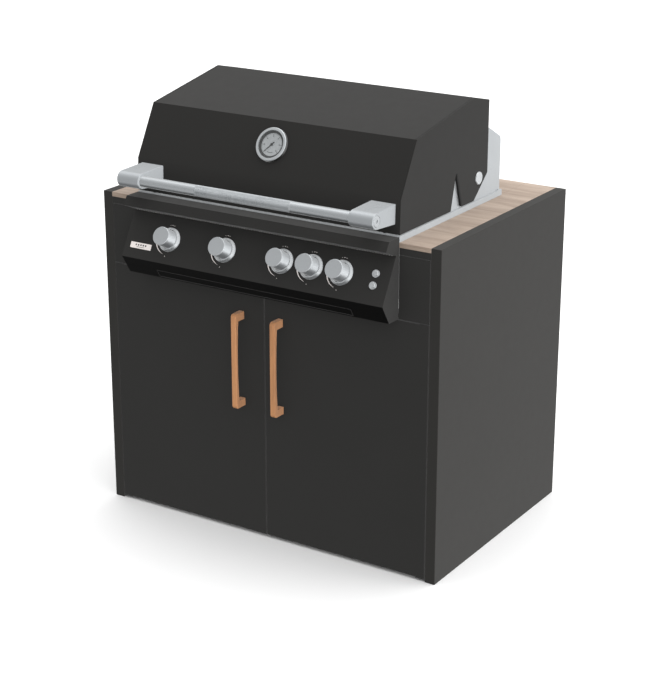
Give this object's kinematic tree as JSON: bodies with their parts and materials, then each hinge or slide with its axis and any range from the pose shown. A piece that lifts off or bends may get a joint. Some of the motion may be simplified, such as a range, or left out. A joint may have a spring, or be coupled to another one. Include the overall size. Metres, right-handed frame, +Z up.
{
  "type": "gas barbecue grill",
  "caption": "Gas barbecue grill with a hinged hood and a row of control knobs, set into an outdoor-kitchen cabinet with two doors below and wooden worktop boards around it.",
  "frame": {"origin": "on the floor, under the centre of the object's bounding box", "axes": "+Z up, the front with the knobs and doors faces -Y, +X is to the right for someone facing the front"},
  "size_m": [1, 0.7595, 1.1405],
  "materials": {
    "side_laminate": "fine matt, compact laminate",
    "door_laminate": "fine matt, compact laminate",
    "carcass_laminate": "matt",
    "frame_steel": "powder coated, satin",
    "worktop_wood": "oiled, pale",
    "handle_wood": "oiled, warm brown",
    "black_plastic": "moulded, matt",
    "stainless": "fine brushed",
    "bright_steel": "satin, bright",
    "firebox_steel": "mill finish",
    "rubber": "matt",
    "burner_ceramic": "porous",
    "electrode_ceramic": "glazed",
    "panel_enamel": "matt enamel",
    "badge_metal": "satin, blank",
    "brass": "machined",
    "knob_steel": "satin turned",
    "pipe_steel": "satin",
    "pipe_aluminium": "drawn",
    "burner_steel": "heat tinted",
    "cast_iron": "matt enamel",
    "tray_enamel": "matt enamel",
    "hood_enamel": "matt enamel",
    "handle_steel": "satin tube",
    "grip_steel": "knurled",
    "bracket_metal": "bead blasted",
    "dial_paint": "printed dial",
    "needle_paint": "matt",
    "glass": "clear"
  },
  "bodies": {
    "cabinet": {"side_panel_left": "side_laminate", "side_panel_right": "side_laminate", "cabinet_floor": "carcass_laminate", "cabinet_back": "carcass_laminate", "support_frame": "frame_steel", "fascia_panels": "door_laminate", "worktop_left": "worktop_wood", "worktop_right": "worktop_wood", "worktop_back": "worktop_wood", "door_pivot_brackets": "frame_steel", "door_catches": "black_plastic", "trim_flange": "stainless", "firebox": "firebox_steel", "hinge_plates": "stainless", "hood_pivots": "bright_steel", "hood_bumpers": "rubber", "rear_housing": "stainless", "rear_burner": "burner_ceramic", "control_panel": "panel_enamel", "badge_plate": "badge_metal", "panel_bezels": "bright_steel", "valve_bodies": "brass", "igniter_box": "black_plastic", "electrodes": "electrode_ceramic", "manifold": "pipe_steel", "gas_inlet": "brass", "rear_gas_tube": "pipe_aluminium", "burners": "burner_steel", "flame_tamers": "burner_steel", "cooking_grates": "cast_iron", "griddle_plate": "cast_iron", "warming_rack": "bright_steel", "tray_rails": "firebox_steel"},
    "left_door": {"door_left": "door_laminate", "door_handle_left": "handle_wood"},
    "right_door": {"door_right": "door_laminate", "door_handle_right": "handle_wood"},
    "hood": {"hood_shell": "hood_enamel", "hood_ends": "hood_enamel", "hood_liner": "firebox_steel", "handle_tube": "handle_steel", "handle_grip": "grip_steel", "handle_brackets": "bracket_metal", "thermometer_case": "bright_steel", "thermometer_dial": "dial_paint", "thermometer_lens": "glass"},
    "needle": {"thermometer_needle": "needle_paint"},
    "valve_1": {"valve_plug_1": "brass"},
    "valve_2": {"valve_plug_2": "brass"},
    "valve_3": {"valve_plug_3": "brass"},
    "valve_4": {"valve_plug_4": "brass"},
    "valve_5": {"valve_plug_5": "brass"},
    "control_knob_1": {"knob_1": "knob_steel"},
    "control_knob_2": {"knob_2": "knob_steel"},
    "control_knob_3": {"knob_3": "knob_steel"},
    "control_knob_4": {"knob_4": "knob_steel"},
    "control_knob_5": {"knob_5": "knob_steel"},
    "upper_button": {"push_button_upper": "bright_steel"},
    "lower_button": {"push_button_lower": "bright_steel"},
    "tray": {"drip_tray": "tray_enamel"}
  },
  "joints": [
    {"name": "left_door_swing", "type": "hinge", "parent": "cabinet", "child": "left_door", "pos_m": [-0.458, -0.27425, 0.339], "axis": [0, 0, -1], "range_deg": [0, 110]},
    {"name": "right_door_swing", "type": "hinge", "parent": "cabinet", "child": "right_door", "pos_m": [0.458, -0.27425, 0.339], "axis": [0, 0, 1], "range_deg": [0, 110]},
    {"name": "hood_lift", "type": "hinge", "parent": "cabinet", "child": "hood", "pos_m": [0, 0.10525, 0.9325], "axis": [-1, 0, 0], "range_deg": [0, 90]},
    {"name": "needle_turn", "type": "hinge", "parent": "hood", "child": "needle", "pos_m": [0, -0.2401, 1.03722], "axis": [0, 0.8791, -0.4767], "range_deg": [0, 270]},
    {"name": "valve_1_turn", "type": "hinge", "parent": "cabinet", "child": "valve_1", "pos_m": [-0.255, -0.34174, 0.78571], "axis": [0, -0.8779, 0.4789], "range_deg": [0, 240]},
    {"name": "valve_2_turn", "type": "hinge", "parent": "cabinet", "child": "valve_2", "pos_m": [-0.085, -0.34174, 0.78571], "axis": [0, -0.8779, 0.4789], "range_deg": [0, 240]},
    {"name": "valve_3_turn", "type": "hinge", "parent": "cabinet", "child": "valve_3", "pos_m": [0.085, -0.34174, 0.78571], "axis": [0, -0.8779, 0.4789], "range_deg": [0, 240]},
    {"name": "valve_4_turn", "type": "hinge", "parent": "cabinet", "child": "valve_4", "pos_m": [0.17, -0.34174, 0.78571], "axis": [0, -0.8779, 0.4789], "range_deg": [0, 240]},
    {"name": "valve_5_turn", "type": "hinge", "parent": "cabinet", "child": "valve_5", "pos_m": [0.255, -0.34174, 0.78571], "axis": [0, -0.8779, 0.4789], "range_deg": [0, 240]},
    {"name": "knob_1_push", "type": "slide", "parent": "valve_1", "child": "control_knob_1", "axis": [0, 0.8779, -0.4789], "range_m": [0, 0.003], "stiffness_N_per_m": 600, "springref_m": -0.006},
    {"name": "knob_2_push", "type": "slide", "parent": "valve_2", "child": "control_knob_2", "axis": [0, 0.8779, -0.4789], "range_m": [0, 0.003], "stiffness_N_per_m": 600, "springref_m": -0.006},
    {"name": "knob_3_push", "type": "slide", "parent": "valve_3", "child": "control_knob_3", "axis": [0, 0.8779, -0.4789], "range_m": [0, 0.003], "stiffness_N_per_m": 600, "springref_m": -0.006},
    {"name": "knob_4_push", "type": "slide", "parent": "valve_4", "child": "control_knob_4", "axis": [0, 0.8779, -0.4789], "range_m": [0, 0.003], "stiffness_N_per_m": 600, "springref_m": -0.006},
    {"name": "knob_5_push", "type": "slide", "parent": "valve_5", "child": "control_knob_5", "axis": [0, 0.8779, -0.4789], "range_m": [0, 0.003], "stiffness_N_per_m": 600, "springref_m": -0.006},
    {"name": "upper_button_push", "type": "slide", "parent": "cabinet", "child": "upper_button", "axis": [0, 0.8779, -0.4789], "range_m": [0, 0.003], "stiffness_N_per_m": 400, "springref_m": -0.004},
    {"name": "lower_button_push", "type": "slide", "parent": "cabinet", "child": "lower_button", "axis": [0, 0.8779, -0.4789], "range_m": [0, 0.003], "stiffness_N_per_m": 400, "springref_m": -0.004},
    {"name": "tray_slide", "type": "slide", "parent": "cabinet", "child": "tray", "axis": [0, -1, 0], "range_m": [0, 0.4]}
  ]
}
